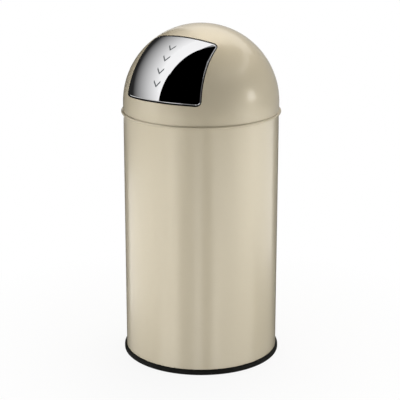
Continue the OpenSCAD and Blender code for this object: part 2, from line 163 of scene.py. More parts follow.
class FlapSizes(PropertyGroup):
    """Sizes of the flap, its stop ears and its marks"""
    sheet: length("Sheet", "Thickness of the flap's sheet", 1)
    edge: length("Turned edge", "Depth of the flap's turned-in edge", 8)
    fold: length("Fold", "Size of the fold's round at the flap's edge", 2.4)
    gap_side: length("Side gap", "Gap between the flap and the mouth at the sides", 1.8)
    gap_top: length("Top gap", "Gap between the flap and the mouth at the top", 2.2)
    gap_low: length("Bottom gap", "Gap between the flap and the mouth at the bottom", 2.8)
    ear_r: length("Ear radius", "Outer radius of the stop ears about the dome's centre", 167.6)
    ear_drop: length("Ear drop", "Drop of the ears' middle below the dome's centre", 28)
    ear_w: length("Ear width", "Width of each stop ear along the edge", 14)
    ear_lap: length("Ear lap", "Overlap of each stop ear on the flap", 4)
    ear_reach: length("Ear reach", "Reach of each stop ear behind the dome's edge", 9)
    buffer: length("Buffer", "Thickness of the rubber buffer on each stop ear", 1.95)
    mark_w: length("Mark width", "Width of each push mark", 17)
    mark_h: length("Mark height", "Height of each push mark", 11)
    mark_line: length("Mark line", "Width of the marks' line", 4.6)


class HingeSizes(PropertyGroup):
    """Sizes of the flap's hinge rod, caps, bushes and springs"""
    y: FloatProperty(name="Rod Y", description="Place of the hinge rod along Y",
                     default=-47.8015 * MM, subtype="DISTANCE", unit="LENGTH")
    z: length("Rod Z", "Height of the hinge rod above the floor", 699.018)
    rod_r: length("Rod radius", "Radius of the hinge rod", 2.5)
    rod_end: length("Rod end", "Distance of the rod's ends from the middle", 90)
    cap_x: length("Cap", "Distance of each cap's inner face from the middle", 86.1)
    cap_r: length("Cap radius", "Outer radius of the cap on each rod end", 4.5)
    bush_face: length("Bush face", "Distance of each bush's shoulder from the middle", 73.05)
    bush_l: length("Bush length", "Length of the bush's sleeve", 6)
    bush_r: length("Bush radius", "Outer radius of the bush's sleeve", 4)
    bush_flange_r: length("Bush flange", "Radius of the bush's flange", 6)
    wire_r: length("Wire radius", "Radius of the spring wire", 0.75)
    coil_r: length("Coil radius", "Mean radius of the spring's coil", 5)
    coil_x: length("Coil start", "Distance of the coil's inner end from the middle", 45.956)
    pitch: length("Pitch", "Advance of the coil in each turn", 2.2)
    dome_leg: angle("Dome leg", "Turn at which the spring leaves its leg on the dome", 139.8)
    flap_leg: angle("Flap leg", "Turn at which the spring meets its leg on the flap", 97.9)
    turns: count("Turns", "Turns of the coil, rounded up", 8)
    leg_r: length("Leg reach", "Radius about the dome's centre at which the legs end", 168.85)

    @property
    def axis_point(self):
        return Vector((0, self.y, self.z))


class LinerSizes(PropertyGroup):
    """Sizes of the lift-out liner and its bail"""
    radius: length("Radius", "Outer radius of the liner's wall under its rim", 155)
    foot_r: length("Foot radius", "Outer radius of the liner's foot", 147)
    sheet: length("Sheet", "Thickness of the liner's sheet", 0.5)
    foot: length("Foot", "Height of the liner's foot above the floor", 11.9)
    top: length("Top", "Height of the liner's rim above the floor", 512)
    bead: length("Bead radius", "Outer radius of the liner's rolled rim", 3)
    rib_out: length("Rib", "Height that each swaged rib stands out", 2)
    rib_h: length("Rib height", "Height of each swaged rib", 12)
    rib_low: length("Lower rib", "Height of the lower rib's middle", 71.9)
    rib_high: length("Upper rib", "Height of the upper rib's middle", 442)
    recess: length("Recess", "Recess of the liner's base above its foot", 7)
    bail_r: length("Bail radius", "Radius of the bail's arc", 153.5)
    bail_bend: length("Bail bend", "Radius of the bend at each end of the bail", 4)
    bail_wire: length("Bail wire", "Radius of the bail's wire", 2.5)
    bail_z: length("Bail height", "Height of the bail where it lies", 518.8)
    head_x: length("Bail head", "Distance of the bail's heads from the middle", 164.1)
    head_r: length("Head radius", "Radius of the bail's heads", 4)
    grip_r: length("Grip radius", "Radius of the grip", 6.5)
    grip_l: length("Grip length", "Length of the grip along the arc", 100)
    rivet_r: length("Rivet radius", "Radius of the rivets' shanks", 1.5)
    rivet_head: length("Rivet head", "Radius of the rivets' heads", 3.2)
    rivet_y: length("Rivet spacing", "Distance of each rivet from the ear's middle", 7.3)
    rivet_z: length("Rivet height", "Height of the rivets", 488.33)

    def radius_at(self, z):
        share = (z - self.foot) / (self.top - self.bead - self.foot)
        return self.foot_r + (self.radius - self.foot_r) * share


class FinishColours(PropertyGroup):
    """Colours of the finishes"""
    cream: colour("Cream lacquer", "Colour of the can's and the lid's lacquer", (0.62, 0.55, 0.405))
    steel: colour("Polished steel", "Colour of the flap's polished steel", (0.90, 0.90, 0.91))
    black: colour("Black rubber", "Colour of the foot ring and the buffers", (0.007, 0.007, 0.006))
    zinc: colour("Zinc plate", "Colour of the plated hinge pieces and the bail", (0.62, 0.64, 0.66))
    galvanised: colour("Galvanised sheet", "Colour of the liner's sheet", (0.52, 0.54, 0.56))
    nylon: colour("Nylon", "Colour of the hinge bushes", (0.78, 0.76, 0.70))
    grip: colour("Grip plastic", "Colour of the bail's grip", (0.02, 0.02, 0.02))
    ink: colour("Mark ink", "Colour of the push marks", (0.10, 0.11, 0.12))


class StageSettings(PropertyGroup):
    """Camera, lamps and floor of the studio"""
    camera_at: FloatVectorProperty(name="Camera", description="Place of the camera", size=3,
                                   default=(1.65964, -2.42655, 1.2312), subtype="XYZ", unit="LENGTH")
    camera_pitch: angle("Camera pitch", "Turn of the camera up from straight down", 73.266)
    camera_turn: angle("Camera turn", "Turn of the camera about the vertical", 34.42)
    lens: FloatProperty(name="Lens", description="Focal length of the camera in mm",
                        default=123.85, min=10, max=300)
    left_power: power("Left lamp", "Power of the soft lamp on the left", 4.9)
    right_power: power("Right lamp", "Power of the soft lamp on the right", 10.5)
    front_power: power("Front lamp", "Power of the soft lamp in front", 16)
    top_power: power("Top lamp", "Power of the soft lamp overhead", 53)
    fill: FloatProperty(name="Fill", description="Strength of the even light from all round",
                        default=0.4, min=0, max=2)
    floor_colour: colour("Floor", "Colour of the studio floor", (0.6, 0.6, 0.6))


class PushBin(PropertyGroup):
    """All settings of the push bin"""
    can: PointerProperty(type=CanSizes)
    lid: PointerProperty(type=LidSizes)
    mouth: PointerProperty(type=MouthSizes)
    flap: PointerProperty(type=FlapSizes)
    hinge: PointerProperty(type=HingeSizes)
    liner: PointerProperty(type=LinerSizes)
    colours: PointerProperty(type=FinishColours)
    stage: PointerProperty(type=StageSettings)


# Finishes

class Nodes:
    """A node tree in the making"""

    def __init__(self, tree):
        self.tree = tree

    def add(self, kind, **settings):
        node = self.tree.nodes.new(kind)
        for setting, value in settings.items():
            setattr(node, setting, value)
        return node

    def link(self, output, node_input):
        self.tree.links.new(output, node_input)

    def choose(self, share, first, second):
        """Mixes two shaders by the share of the second"""
        mix = self.add("ShaderNodeMixShader")
        for output, node_input in zip((share, first, second), mix.inputs):
            self.link(output, node_input)
        return mix.outputs[0]


class Finish(Nodes):
    """A material in the making: a Principled shader with noise in the piece's own coordinates"""

    def __init__(self, name, values):
        self.material = bpy.data.materials.new(name)
        self.material.use_nodes = True
        super().__init__(self.material.node_tree)
        self.shader = self.tree.nodes["Principled BSDF"]
        self.place = self.add("ShaderNodeTexCoord").outputs["Object"]
        for socket, value in values.items():
            self.shader.inputs[socket].default_value = value

    def noise(self, scale, detail, stretch=(1, 1, 1)):
        mapping, node = self.add("ShaderNodeMapping"), self.add("ShaderNodeTexNoise")
        mapping.inputs["Scale"].default_value = stretch
        node.inputs["Scale"].default_value = scale
        node.inputs["Detail"].default_value = detail
        self.link(self.place, mapping.inputs["Vector"])
        self.link(mapping.outputs["Vector"], node.inputs["Vector"])
        return node.outputs[0]

    def spangles(self, scale):
        node = self.add("ShaderNodeTexVoronoi")
        node.inputs["Scale"].default_value = scale
        self.link(self.place, node.inputs["Vector"])
        return node.outputs["Color"]

    def span(self, value, low, high, from_low=0.3, from_high=0.7):
        node = self.add("ShaderNodeMapRange")
        for socket, number in zip(("From Min", "From Max", "To Min", "To Max"),
                                  (from_low, from_high, low, high)):
            node.inputs[socket].default_value = number
        self.link(value, node.inputs["Value"])
        return node.outputs["Result"]

    def cloud(self, low, high, scale, detail, stretch=(1, 1, 1)):
        """Noise that drifts between two values"""
        return self.span(self.noise(scale, detail, stretch), low, high)

    def overlay(self, share, rgb):
        """Mixes a colour over the base colour by its share"""
        base = self.shader.inputs["Base Color"]
        mix = self.add("ShaderNodeMix", data_type="RGBA")
        under, over = mix.inputs[6], mix.inputs[7]
        under.default_value = base.default_value
        if base.is_linked:
            self.link(base.links[0].from_socket, under)
        over.default_value = (*rgb, 1)
        self.link(share, mix.inputs[0])
        self.link(mix.outputs[2], base)

    def mottle(self, share, rgb, dark, light=1.0):
        """Lets the base colour drift between two shades"""
        self.shader.inputs["Base Color"].default_value = (*shade(rgb, dark), 1)
        self.overlay(share, shade(rgb, light))

    def paint_gap_shade(self, rgb):
        """Paints shadow on the faces that the mesh marks: cut and turned edges go near black in the
        gaps
        """
        dusty = self.add("ShaderNodeAttribute", attribute_name="dusty")
        # Painted shadow: the marked faces go to 6% of the colour, near black, for the shade in the
        # gaps
        self.overlay(dusty.outputs["Fac"], shade(rgb, 0.06))

    def roughness(self, value):
        self.link(value, self.shader.inputs["Roughness"])

    def grain(self, scale, detail, height, strength, sockets=("Normal",)):
        """Gives the surface a fine relief"""
        node = self.add("ShaderNodeBump")
        node.inputs["Strength"].default_value = strength
        node.inputs["Distance"].default_value = height
        self.link(self.noise(scale, detail), node.inputs["Height"])
        for socket in sockets:
            self.link(node.outputs["Normal"], self.shader.inputs[socket])


def shade(rgb, factor):
    return tuple(min(1.0, channel * factor) for channel in rgb)


def cream_lacquer(colours):
    """Pearl cream stoving lacquer: fine flake under a clear coat with a faint orange peel"""
    finish = Finish("cream_lacquer", {"Metallic": 0.3, "Roughness": 0.36, "Coat Weight": 1.0,
                                      "Coat Roughness": 0.18, "Coat IOR": 1.7})
    finish.mottle(finish.cloud(0, 1, 2600, 1), colours.cream, 0.96, 1.04)
    # Painted shadow in the gaps on the lacquer's cut edges, such as the crack over the can's bead
    finish.paint_gap_shade(colours.cream)
    finish.roughness(finish.cloud(0.33, 0.40, 22, 4))
    finish.grain(420, 2, 0.02 * MM, 0.25, ("Normal", "Coat Normal"))
    return finish.material


def mirror_steel(colours):
    """Mirror-polished stainless steel with the faintest cloudiness and hairlines"""
    finish = Finish("mirror_steel", {"Metallic": 1.0, "Roughness": 0.015})
    finish.mottle(finish.cloud(0, 1, 14, 3), colours.steel, 0.97)
    # Painted shadow on the flap's fold sides, so the gap round the flap stands dark
    finish.paint_gap_shade(colours.steel)
    finish.roughness(finish.cloud(0.0, 0.01, 60, 5, (8, 1, 1)))
    finish.grain(9, 1, 0.1 * MM, 0.05)
    return finish.material


def moulded_rubber(colours):
    """Matt black rubber with a fine moulded grain"""
    finish = Finish("moulded_rubber", {"Roughness": 0.6, "Specular IOR Level": 0.12})
    finish.mottle(finish.cloud(0, 1, 35, 4), colours.black, 0.8, 1.5)
    finish.roughness(finish.cloud(0.52, 0.68, 90, 3))
    finish.grain(1800, 2, 0.04 * MM, 0.4)
    return finish.material


def zinc_plate(colours):
    """Bright zinc plate, slightly cloudy"""
    finish = Finish("zinc_plate", {"Metallic": 1.0, "Roughness": 0.3})
    finish.mottle(finish.cloud(0, 1, 70, 4), colours.zinc, 0.86)
    finish.roughness(finish.cloud(0.22, 0.38, 140, 4))
    finish.grain(900, 2, 0.02 * MM, 0.3)
    return finish.material


def spring_wire(colours):
    """Drawn spring wire with a fine grain"""
    finish = Finish("spring_wire", {"Metallic": 1.0, "Roughness": 0.28})
    finish.mottle(finish.cloud(0, 1, 300, 3), colours.zinc, 0.6, 0.85)
    finish.grain(2200, 2, 0.01 * MM, 0.4)
    return finish.material


def galvanised_sheet(colours):
    """Galvanised sheet with small spangles"""
    finish = Finish("galvanised_sheet", {"Metallic": 1.0, "Roughness": 0.4})
    spangles = finish.spangles(95)
    finish.mottle(finish.span(spangles, 0, 1, 0.0, 1.0), colours.galvanised, 0.78, 1.12)
    finish.roughness(finish.span(spangles, 0.30, 0.50, 0.0, 1.0))
    finish.grain(500, 3, 0.03 * MM, 0.3)
    return finish.material


def white_nylon(colours):
    """Natural nylon, slightly waxy"""
    finish = Finish("white_nylon", {"Roughness": 0.42, "Subsurface Weight": 0.08,
                                    "Subsurface Scale": 0.002})
    finish.mottle(finish.cloud(0, 1, 120, 3), colours.nylon, 0.95)
    finish.grain(1500, 2, 0.02 * MM, 0.3)
    return finish.material


def grip_plastic(colours):
    """Black moulded plastic with a satin grain"""
    finish = Finish("grip_plastic", {"Roughness": 0.38})
    finish.mottle(finish.cloud(0, 1, 80, 4), colours.grip, 0.8, 1.4)
    finish.roughness(finish.cloud(0.32, 0.46, 160, 3))
    finish.grain(1400, 2, 0.03 * MM, 0.35)
    return finish.material


def mark_ink(colours):
    """Screen-printed dark grey ink"""
    finish = Finish("mark_ink", {"Roughness": 0.45})
    finish.mottle(finish.cloud(0, 1, 700, 3), colours.ink, 0.9, 1.15)
    finish.grain(1600, 2, 0.01 * MM, 0.3)
    return finish.material


FINISHES = {make.__name__: make for make in (
    cream_lacquer, mirror_steel, moulded_rubber, zinc_plate, spring_wire, galvanised_sheet,
    white_nylon, grip_plastic, mark_ink)}


def finish_named(name):
    """The finish's material, made when it's first asked for"""
    found = bpy.data.materials.get(name)
    return found or FINISHES[name](bpy.context.scene.push_bin.colours)


# Modelling

def side_section(point):
    """Lays a section's (radius, height) in the plane Y = 0"""
    return Vector((point[0], 0, point[1]))


def flat(point):
    """Lays a point of the mouth's outline in the plane Z = 0"""
    return Vector((point[0], point[1], 0))


def hinge_section(point):
    """Lays a turned piece's (distance along the rod, radius) in the plane through the rod's axis"""
    hinge = bpy.context.scene.push_bin.hinge
    return Vector((point[0], hinge.y, hinge.z + point[1]))


def verts_in(geom):
    return [e for e in geom if isinstance(e, bmesh.types.BMVert)]


def edges_in(geom):
    return [e for e in geom if isinstance(e, bmesh.types.BMEdge)]


def each_once(elements):
    """The elements in their order, without repeats"""
    return list(dict.fromkeys(elements))


def ends_of(edges):
    return each_once(v for e in edges for v in e.verts)


def edges_at(verts):
    return each_once(e for v in verts for e in v.link_edges)


def spin_open(bm, geom, centre, axis, turn, steps, advance=ORIGIN):
    """Spins a line part of the way round, and returns what stands at its end"""
    return bmesh.ops.spin(bm, geom=geom, cent=centre, axis=axis, dvec=advance, angle=turn,
                          steps=steps, use_duplicate=False)["geom_last"]


def wire_section(bm, segments, radius, at):
    """Draws a wire's round section, and returns its vertices with their edges"""
    ring = bmesh.ops.create_circle(bm, segments=segments, radius=radius, matrix=at)["verts"]
    return ring + edges_at(ring)


class Pen:
    """Draws a section's line in a mesh: strokes to points, and arcs spun about their centres"""

    def __init__(self, bm, start, lay=side_section, normal=-Y, soft=0):
        self.bm, self.lay, self.normal = bm, lay, normal
        self.first = self.last = bm.verts.new(lay(start))
        self.softened = [(self.first, soft)] if soft else []

    def to(self, *points, soft=0):
        for point in points:
            made = self.bm.verts.new(self.lay(point))
            self.bm.edges.new((self.last, made))
            self.last = made
            if soft:
                self.softened.append((made, soft))
        return self

    def arc(self, centre, turn, steps):
        end = spin_open(self.bm, [self.last], self.lay(centre), self.normal, turn, steps)
        self.last = verts_in(end)[0]
        return self

    def close(self):
        self.bm.edges.new((self.last, self.first))
        return self

    def soften(self, segments=4):
        for size in sorted({size for _, size in self.softened}):
            bmesh.ops.bevel(self.bm, geom=[v for v, s in self.softened if s == size], offset=size,
                            offset_type="OFFSET", segments=segments, profile=0.5,
                            affect="VERTICES", material=-1)
        return self


def tidy(bm):
    bmesh.ops.remove_doubles(bm, verts=bm.verts[:], dist=MERGE)
    bmesh.ops.recalc_face_normals(bm, faces=bm.faces[:])


def turn_round(bm, steps, axis=Z, centre=ORIGIN):
    """Spins the drawn sections full circle and closes them"""
    bmesh.ops.spin(bm, geom=bm.verts[:] + bm.edges[:], cent=centre, axis=axis,
                   angle=math.tau, steps=steps, use_merge=True, use_duplicate=False)
    tidy(bm)


def open_edges(bm):
    return [e for e in bm.edges if len(e.link_faces) < 2]


def close_ends(bm):
    bmesh.ops.holes_fill(bm, edges=open_edges(bm), sides=0)
    tidy(bm)


def extrude_line(bm, edges, move=None):
    """Extrudes a line of edges by a distance, and returns the new edges"""
    made = bmesh.ops.extrude_edge_only(bm, edges=edges)["geom"]
    if move is not None:
        bmesh.ops.translate(bm, verts=verts_in(made), vec=move)
    return edges_in(made)


def face_outwards(bm, centre):
    """Turns an open skin's faces away from the centre that it surrounds"""
    bmesh.ops.recalc_face_normals(bm, faces=bm.faces[:])
    inward = [f for f in bm.faces if f.normal.dot(f.calc_center_median() - centre) < 0]
    if len(inward) > len(bm.faces) / 2:
        bmesh.ops.reverse_faces(bm, faces=bm.faces[:])


def round_edges(bm, edges, size, segments=2):
    bmesh.ops.bevel(bm, geom=edges, offset=size, offset_type="OFFSET", segments=segments,
                    profile=0.5, affect="EDGES", material=-1, clamp_overlap=True)


def sharp_edges(bm, degrees=40):
    limit = math.radians(degrees)
    return [e for e in bm.edges if len(e.link_faces) == 2 and e.calc_face_angle(0) > limit]


def mark_gap_shade(bm, centre, steepness=0.8):
    """Marks the faces that stand across a ball's sheet, its cut and turned edges, for painted shadow
    in the gaps
    """
    dusty = bm.faces.layers.float.new("dusty")
    bm.normal_update()
    for f in bm.faces:
        out = (f.calc_center_median() - centre).normalized()
        f[dusty] = float(abs(f.normal.dot(out)) < steepness)


def mirror_right_to_left(bm):
    bmesh.ops.mirror(bm, geom=bm.verts[:] + bm.edges[:] + bm.faces[:], matrix=Matrix.Identity(4),
                     merge_dist=MERGE, axis="X")
    tidy(bm)


def put_in_scene(name, data):
    made = bpy.data.objects.new(name, data)
    bpy.context.scene.collection.objects.link(made)
    return made


def finished(bm, name, material):
    """Turns the modelled mesh into an object of the scene"""
    mesh = bpy.data.meshes.new(name)
    bm.to_mesh(mesh)
    bm.free()
    mesh.materials.append(material)
    return put_in_scene(name, mesh)


def set_down(bm, name, body, finish, stands_for=(), crease=35):
    """Makes the modelled mesh a piece of a body, in place of the CAD nodes that it stands for"""
    piece = finished(bm, name, finish_named(finish))
    piece.data.shade_smooth()
    piece.data.set_sharp_from_angle(angle=math.radians(crease))
    if body:
        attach(piece, body)
    if stands_for:
        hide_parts(*stands_for)
    return piece


def dress(finish, *nodes):
    """Gives CAD nodes that stay their finish"""
    for node in nodes:
        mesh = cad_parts[node].data
        mesh.materials.clear()
        mesh.materials.append(finish_named(finish))


# The mouth and the dome

def draw_mouth(bm, mouth, side=0.0, top=0.0, low=0.0, spacing=3 * MM):
    """Draws the mouth's outline in the plane Z = 0, drawn in at the sides, the top and the bottom"""
    low_steps, corner_steps = 30, 10
    slope, slant = mouth.slope, math.hypot(1, mouth.slope)
    half = mouth.low_w / 2 - side * slant
    r = mouth.corner - side
    low_y, r_low = mouth.low_r - mouth.drop, mouth.low_r - low
    # The bottom corner's centre lies at r from both the side and the bottom's curve
    m = half + slope * (low_y + mouth.drop) - r * slant
    down = m * slope + math.sqrt((m * slope) ** 2 - slant ** 2 * (m * m - (r_low - r) ** 2))
    down /= slant ** 2
    low_c = Vector((m - slope * down, low_y - down))
    top_y = mouth.top - top - r
    top_c = Vector((half + slope * (top_y + mouth.drop) - r * slant, top_y))
    turn = math.atan2(-slope, 1)
    low_turn = math.atan2(low_c.y - low_y, low_c.x)
    pen = Pen(bm, (0, low_y - r_low), lay=flat, normal=Z)
    pen.arc((0, low_y), low_turn + math.pi / 2, low_steps).arc(low_c, turn - low_turn, corner_steps)
    pen.to(top_c + r * Vector((math.cos(turn), math.sin(turn))))
    pen.arc(top_c, math.pi / 2 - turn, corner_steps).to((0, mouth.top - top))
    for edge in [e for e in bm.edges if e.calc_length() > spacing * 1.5]:
        bmesh.ops.subdivide_edges(bm, edges=[edge], cuts=round(edge.calc_length() / spacing) - 1)
    mirror_right_to_left(bm)


def onto_ball(verts, radius, along_axis=True):
    """Moves points of the mouth's plane onto a ball about the dome's centre.

    They go straight along the mouth's axis, or they keep their distance from it over the ball.
    """
    bin_sizes = bpy.context.scene.push_bin
    mouth, centre = bin_sizes.mouth, bin_sizes.lid.centre
    for v in verts:
        x, up = v.co.x, v.co.y
        out = math.hypot(x, up)
        if along_axis:
            v.co = centre + x * X + up * mouth.up + math.sqrt(radius ** 2 - out ** 2) * mouth.axis
        else:
            away = (x * X + up * mouth.up) / max(out, MERGE)
            turn = out / radius
            v.co = centre + radius * (math.cos(turn) * mouth.axis + math.sin(turn) * away)


def unroll(verts, radius):
    """Spreads points of the mouth's plane to the distance that they have over the ball"""
    for v in verts:
        out = math.hypot(v.co.x, v.co.y)
        v.co *= radius * math.asin(out / radius) / out


def cut_rungs(bm, loop_a, loop_b, cuts):
    """Cuts the edges that join two loops, so that the skin between them gets finer"""
    a, b = set(ends_of(loop_a)), set(ends_of(loop_b))
    rungs = [e for e in bm.edges if (e.verts[0] in a) != (e.verts[1] in a)
             and (e.verts[0] in b) != (e.verts[1] in b)]
    bmesh.ops.subdivide_edges(bm, edges=rungs, cuts=cuts, use_grid_fill=True)


def dome_skin(bm, sizes):
    """The dome's outer skin: the mouth's outline, spread over the ball to the skirt's top"""
    mouth, lid, rings = sizes.mouth, sizes.lid, 44
    draw_mouth(bm, mouth)
    unroll(bm.verts, lid.radius)
    rim = bm.edges[:]
    equator = extrude_line(bm, rim)
    for v in ends_of(equator):
        sin_b = v.co.y / v.co.length
        turn = math.atan2(math.sin(mouth.tilt), -sin_b * math.cos(mouth.tilt))
        v.co *= lid.radius * turn / v.co.length
    cut_rungs(bm, rim, equator, rings)
    onto_ball(bm.verts, lid.radius, along_axis=False)
    level = [e for e in open_edges(bm) if all(abs(v.co.z - lid.centre.z) < LEVEL for v in e.verts)]
    extrude_line(bm, level, -lid.skirt * Z)
    tidy(bm)
    face_outwards(bm, lid.centre)


def flap_skin(bm, sizes):
    """The flap's outer skin with its turned-in edge: rings from the outline to a merged middle"""
    mouth, lid, flap = sizes.mouth, sizes.lid, sizes.flap
    # Rings inside the outline, the innermost one as a share of it, and the angle off the middle
    # from which a sharp edge belongs to the fold
    rings, innermost, off_middle = 19, 0.02, 0.2
    draw_mouth(bm, mouth, flap.gap_side, flap.gap_top, flap.gap_low)
    unroll(bm.verts, lid.radius)
    outline = bm.edges[:]
    middle = extrude_line(bm, outline)
    for v in ends_of(middle):
        v.co *= innermost
    cut_rungs(bm, outline, middle, rings)
    bmesh.ops.pointmerge(bm, verts=ends_of(middle), merge_co=ORIGIN)
    onto_ball(bm.verts, lid.radius, along_axis=False)
    turned = ends_of(extrude_line(bm, open_edges(bm)))
    for v in turned:
        q = v.co - lid.centre
        v.co = (q.x, q.dot(mouth.up), 0)
    onto_ball(turned, lid.radius - flap.edge)
    tidy(bm)
    face_outwards(bm, lid.centre)
    rim = [e for e in sharp_edges(bm) if mouth.axis.angle(e.verts[0].co - lid.centre) > off_middle]
    round_edges(bm, rim, flap.fold, 5)


def ball_patches(bm, sizes, start, end, low, high, radius, sheet):
    """Small curved plates right and left on a ball about the dome's centre, thickened inwards"""
    for x0, x1 in ((start, end), (-end, -start)):
        grid = bmesh.ops.create_grid(bm, x_segments=6, y_segments=6, size=0.5)["verts"]
        bmesh.ops.scale(bm, vec=(x1 - x0, high - low, 1), verts=grid)
        bmesh.ops.translate(bm, vec=((x0 + x1) / 2, (low + high) / 2, 0), verts=grid)
        onto_ball(grid, radius)
        faces = each_once(f for v in grid for f in v.link_faces)
        if faces[0].normal.dot(faces[0].calc_center_median() - sizes.lid.centre) < 0:
            bmesh.ops.reverse_faces(bm, faces=faces)
        bmesh.ops.solidify(bm, geom=faces, thickness=sheet)


def roll_rim(pen, centre, bead, sheet, outer_steps, inner_steps):
    """Draws a rim's open curl: round its outer side, over its cut end and back round its inner side"""
    end = math.pi - CURL
    pen.to((centre.x - bead, centre.y)).arc(centre, -CURL, outer_steps)
    pen.to(centre + (bead - sheet) * Vector((math.cos(end), math.sin(end))))
    pen.arc(centre, CURL, inner_steps)


def mouth_half(mouth, up):
    return mouth.low_w / 2 + mouth.slope * (up + mouth.drop)


# Operators

# Places of the push marks in mm, to the right of the dome's centre and up from it
MARK_PLACES = ((-3, 58), (-3, 31), (-5, 1), (-5, -27))


class PUSHBIN_OT_can(Operator):
    """Model the can's wall with its rolled rim and side seam"""
    bl_idname = "push_bin.can"
    bl_label = "Can wall"
    bl_options = {"REGISTER", "UNDO"}

    def execute(self, context):
        can = context.scene.push_bin.can
        bm = bmesh.new()
        pen = Pen(bm, (can.inner, can.wall_foot))
        roll_rim(pen, can.bead_centre, can.bead, can.sheet, 40, 28)
        pen.to((can.radius, can.wall_foot)).close()
        turn_round(bm, can.steps)
        low, high = can.foot_h + MM, can.rim_h - 2 * can.bead - MM
        seam = bmesh.ops.create_cube(bm, size=1)["verts"]
        bmesh.ops.scale(bm, vec=(can.seam_w, can.sheet, high - low), verts=seam)
        bmesh.ops.translate(bm, vec=(0, can.radius, (low + high) / 2), verts=seam)
        round_edges(bm, edges_at(seam), 0.25 * MM)
        set_down(bm, "can_wall", "can", "cream_lacquer", ["can_shell"])
        return {"FINISHED"}


class PUSHBIN_OT_base(Operator):
    """Model the can's pressed base plate and its black foot ring"""
    bl_idname = "push_bin.base"
    bl_label = "Base and foot ring"
    bl_options = {"REGISTER", "UNDO"}

    def execute(self, context):
        can = context.scene.push_bin.can
        t, h, r = can.sheet, can.base_h, can.base_r
        pressed = [(55 * MM, 0), (58 * MM, 3 * MM), (115 * MM, 3 * MM), (118 * MM, 0)]
        bm = bmesh.new()
        pen = Pen(bm, (0, h)).to(*[(x, h + z) for x, z in pressed], soft=1.2 * MM)
        pen.to((r - t, h), soft=0.8 * MM).to((r - t, can.wall_foot), (r, can.wall_foot))
        pen.to((r, h + t), soft=1.2 * MM)
        pen.to(*[(x, h + z + t) for x, z in reversed(pressed)], soft=1.2 * MM)
        pen.to((0, h + t)).soften()
        turn_round(bm, PLATE_STEPS)
        set_down(bm, "base_plate", "can", "cream_lacquer", ["can_base"])

        out, wall, gutter = can.radius + can.foot_out, can.radius + FIT, can.base_r - t - FIT
        inner, seat, lip = gutter - 4 * MM, 3 * MM, 8 * MM
        bm = bmesh.new()
        pen = Pen(bm, (inner, 0), soft=0.6 * MM).to((out, 0), soft=2.4 * MM)
        pen.to((out, can.foot_h), soft=4.4 * MM)
        pen.to((wall, can.foot_h), (wall, seat), (gutter, seat))
        pen.to((gutter, lip), (inner, lip), soft=0.6 * MM).close().soften(6)
        turn_round(bm, can.steps)
        set_down(bm, "rubber_foot", "can", "moulded_rubber", ["foot_ring"])
        return {"FINISHED"}


class PUSHBIN_OT_dome(Operator):
    """Model the dome lid with its mouth, and the collar that sits in the can"""
    bl_idname = "push_bin.dome"
    bl_label = "Dome and collar"
    bl_options = {"REGISTER", "UNDO"}

    def execute(self, context):
        sizes = context.scene.push_bin
        can, lid = sizes.can, sizes.lid
        bm = bmesh.new()
        dome_skin(bm, sizes)
        bmesh.ops.solidify(bm, geom=bm.faces[:], thickness=can.sheet)
        # Marks the dome's cut edges for the painted shadow in the gaps
        mark_gap_shade(bm, lid.centre)
        set_down(bm, "dome", "lid", "cream_lacquer", ["lid_dome"])

        t, r, outer = can.sheet, lid.collar_r, lid.radius - can.sheet - FIT
        top, foot = lid.centre.z - FIT, lid.collar_foot
        weld = top - lid.collar_weld
        line = [(outer, weld), (r, weld - 4.5 * MM), (r, foot + 3 * MM)]
        lead_in = r - 1.5 * MM
        bm = bmesh.new()
        pen = Pen(bm, (outer, top)).to(*line, soft=1.5 * MM).to((lead_in, foot), (lead_in - t, foot))
        pen.to(*[(x - t, z) for x, z in reversed(line)], soft=1.5 * MM)
        pen.to((outer - t, top)).close().soften()
        turn_round(bm, can.steps)
        set_down(bm, "collar", "lid", "cream_lacquer", ["lid_collar"])
        return {"FINISHED"}


class PUSHBIN_OT_flap(Operator):
    """Model the push flap with its turned edge, stop ears, buffers and push marks"""
    bl_idname = "push_bin.flap"
    bl_label = "Flap"
    bl_options = {"REGISTER", "UNDO"}

    def execute(self, context):
        sizes = context.scene.push_bin
        lid, mouth, flap = sizes.lid, sizes.mouth, sizes.flap
        bm = bmesh.new()
        flap_skin(bm, sizes)
        bmesh.ops.solidify(bm, geom=bm.faces[:], thickness=flap.sheet)
        middle = -flap.ear_drop
        low, high = middle - flap.ear_w / 2, middle + flap.ear_w / 2
        start = mouth_half(mouth, high) - flap.gap_side - flap.ear_lap
        end = mouth_half(mouth, middle) + flap.ear_reach
        ball_patches(bm, sizes, start, end, low, high, flap.ear_r, flap.sheet)
        # Marks the flap's fold sides and cut edges for the painted shadow in the gaps
        mark_gap_shade(bm, lid.centre)
        set_down(bm, "flap_plate", "flap", "mirror_steel", ["flap_panel"])

        bm = bmesh.new()
        start = mouth_half(mouth, low) + MM
        ball_patches(bm, sizes, start, end - MM, low + MM, high - MM,
                     flap.ear_r + flap.buffer + PLAY, flap.buffer)
        round_edges(bm, sharp_edges(bm, 60), 0.4 * MM)
        set_down(bm, "ear_buffers", "flap", "moulded_rubber", ["stop_buffers"])

        bm = bmesh.new()
        w, h, line = flap.mark_w / 2, flap.mark_h, flap.mark_line
        for across, up in MARK_PLACES:
            low_line = [(-w, h / 2), (0, -h / 2), (w, h / 2)]
            rows = [[bm.verts.new((across * MM + x, up * MM + y + lift, 0)) for x, y in low_line]
                    for lift in (-line / 2, line / 2)]
            for i in (0, 1):
                bm.faces.new((rows[0][i], rows[0][i + 1], rows[1][i + 1], rows[1][i]))
        bmesh.ops.subdivide_edges(bm, edges=bm.edges[:], cuts=5, use_grid_fill=True)
        ink = 0.06 * MM
        onto_ball(bm.verts, lid.radius + ink / 2)
        face_outwards(bm, lid.centre)
        bmesh.ops.solidify(bm, geom=bm.faces[:], thickness=ink)
        set_down(bm, "push_marks", "flap", "mark_ink")
        dress("mirror_steel", "flap_arm_left", "flap_arm_right")
        return {"FINISHED"}


